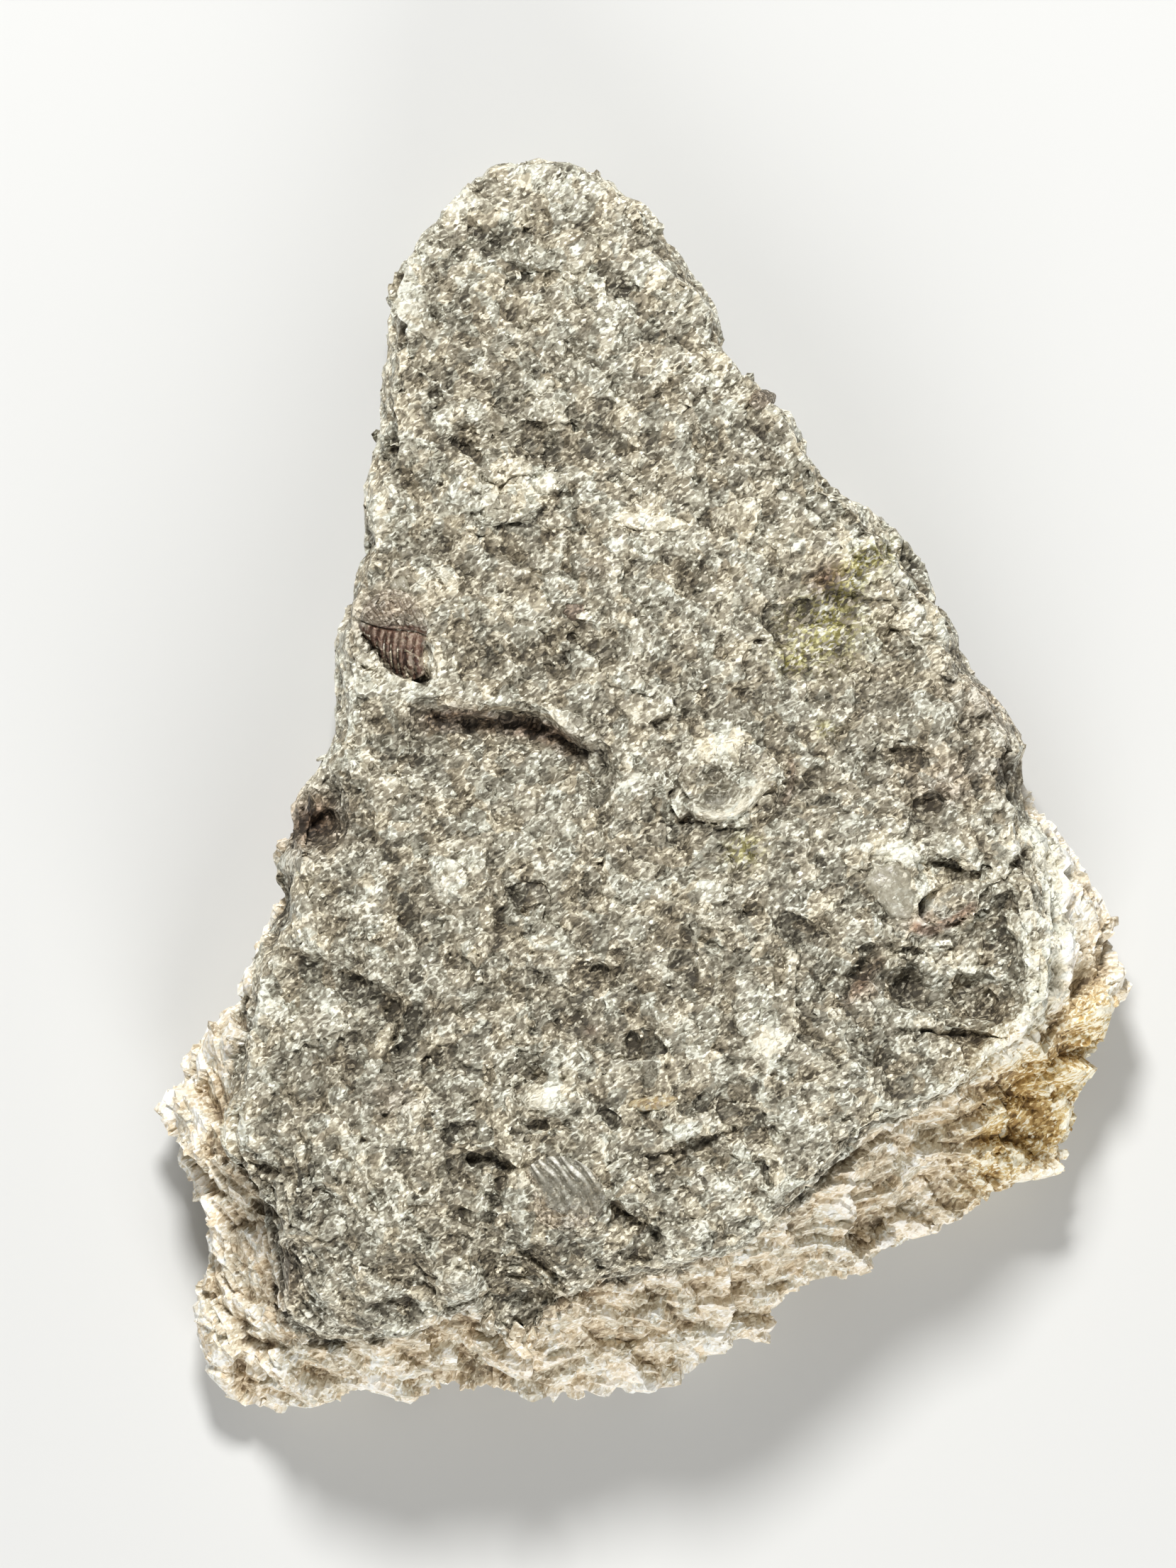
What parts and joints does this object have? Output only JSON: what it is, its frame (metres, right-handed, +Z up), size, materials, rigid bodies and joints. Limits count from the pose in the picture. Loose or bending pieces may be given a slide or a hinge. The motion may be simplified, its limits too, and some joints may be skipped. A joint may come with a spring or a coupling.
{
  "type": "trilobite fossil in limestone",
  "caption": "Broken hand specimen of shelly limestone lying on its back, with a ribbed trilobite tail, a ribbed shell and smooth shells standing out of its face.",
  "frame": {"origin": "on the ground, under the middle of the stone's box, so the stone rests on Z = 0", "axes": "+Z up out of the face with the fossils, +Y to the narrow tip, +X to the side with the large hollow"},
  "size_m": [0.113, 0.151, 0.041],
  "materials": {
    "limestone": "grainy grey-olive limestone with cream crystal grains, rough and broken",
    "trilobite_shield": "red-brown to dark brown fossil shell, slightly glossy on its ribs",
    "shell": "silver-grey fossil shell with cream edges, satin"
  },
  "bodies": {
    "root": {"limestone_matrix": "limestone", "trilobite_tail": "trilobite_shield", "ribbed_shell": "shell", "crescent_shell": "shell", "lens_shell": "shell", "hollow_shell": "shell"}
  },
  "joints": []
}
